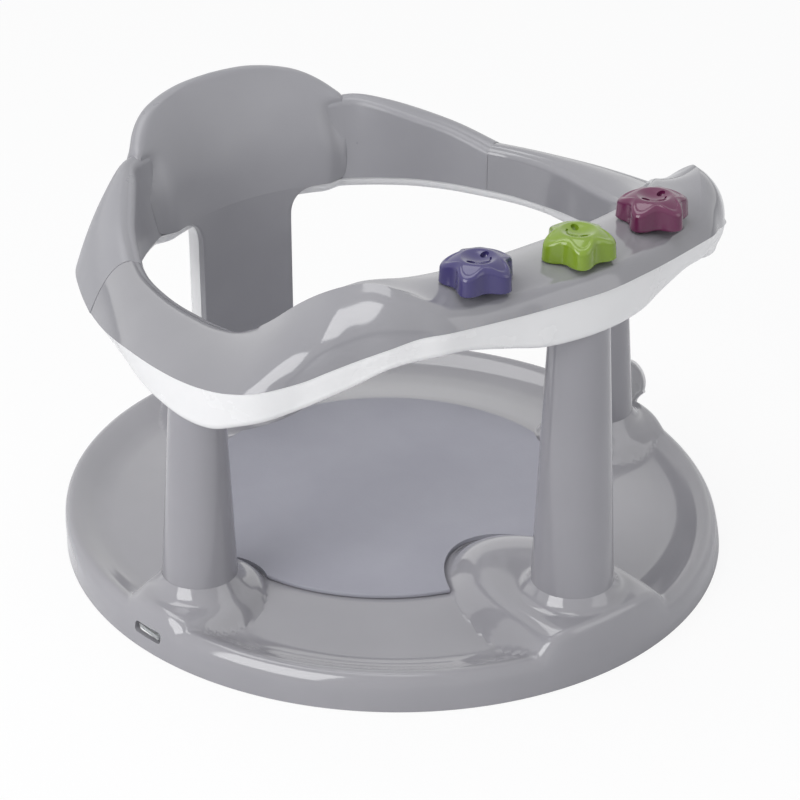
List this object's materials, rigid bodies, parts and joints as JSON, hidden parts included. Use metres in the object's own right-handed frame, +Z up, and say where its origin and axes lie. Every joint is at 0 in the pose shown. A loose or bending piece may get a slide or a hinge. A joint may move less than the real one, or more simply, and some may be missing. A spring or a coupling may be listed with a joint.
{
  "type": "baby bath seat",
  "caption": "Baby bath seat: a ring with a toy tray and a high backrest on posts over a round suction base; star toys turn and a release tab folds out.",
  "frame": {"origin": "on the floor the seat stands on, under the middle of its overall box", "axes": "+Z up; +Y towards the backrest, -Y towards the toy tray; +X to the right side as seen from the tray looking to the backrest"},
  "size_m": [0.3826, 0.3918, 0.2455],
  "materials": {
    "base": "light grey, smooth",
    "cover": "mid grey, glossy",
    "post": "mid grey, glossy",
    "shell": "white, glossy",
    "pad": "grey, soft, matt",
    "cup": "clear, soft",
    "screw": "stainless steel",
    "purple": "purple, glossy",
    "green": "green, glossy",
    "magenta": "magenta, glossy",
    "pin": "white"
  },
  "bodies": {
    "seat_frame": {"base_dish": "base", "seat_pad": "pad", "left_post": "post", "right_post": "post", "front_post": "post", "front_post_screw_1": "screw", "front_post_screw_2": "screw", "leg_screw_1": "screw", "leg_screw_2": "screw", "left_post_screw_1": "screw", "left_post_screw_2": "screw", "right_post_screw_1": "screw", "right_post_screw_2": "screw", "left_tray_screw": "screw", "right_tray_screw": "screw", "left_arm_screw": "screw", "right_arm_screw": "screw", "left_seam_screw": "screw", "right_seam_screw": "screw", "left_rear_screw": "screw", "right_rear_screw": "screw", "front_under_shell": "shell", "front_cover": "cover", "backrest": "cover", "rear_shell": "shell", "front_suction_cup": "cup", "back_suction_cup": "cup", "left_suction_cup": "cup", "right_suction_cup": "cup"},
    "purple_star_toy": {"purple_star": "purple", "purple_star_spindle": "pin", "purple_star_clip": "pin"},
    "green_star_toy": {"green_star": "green", "green_star_spindle": "pin", "green_star_clip": "pin"},
    "magenta_star_toy": {"magenta_star": "magenta", "magenta_star_spindle": "pin", "magenta_star_clip": "pin"},
    "release_tab": {"right_release_tab": "shell"}
  },
  "joints": [
    {"name": "purple_star_spin", "type": "hinge", "parent": "seat_frame", "child": "purple_star_toy", "pos_m": [-0.06124, -0.14639, 0.231], "axis": [0, 0, 1], "continuous": true},
    {"name": "green_star_spin", "type": "hinge", "parent": "seat_frame", "child": "green_star_toy", "pos_m": [-0.0013, -0.15387, 0.231], "axis": [0, 0, 1], "continuous": true},
    {"name": "magenta_star_spin", "type": "hinge", "parent": "seat_frame", "child": "magenta_star_toy", "pos_m": [0.05864, -0.14639, 0.231], "axis": [0, 0, 1], "continuous": true},
    {"name": "release_tab_hinge", "type": "hinge", "parent": "seat_frame", "child": "release_tab", "pos_m": [0.18911, -0.00336, 0.0112], "axis": [0, 1, 0], "range_deg": [0, 90]}
  ]
}
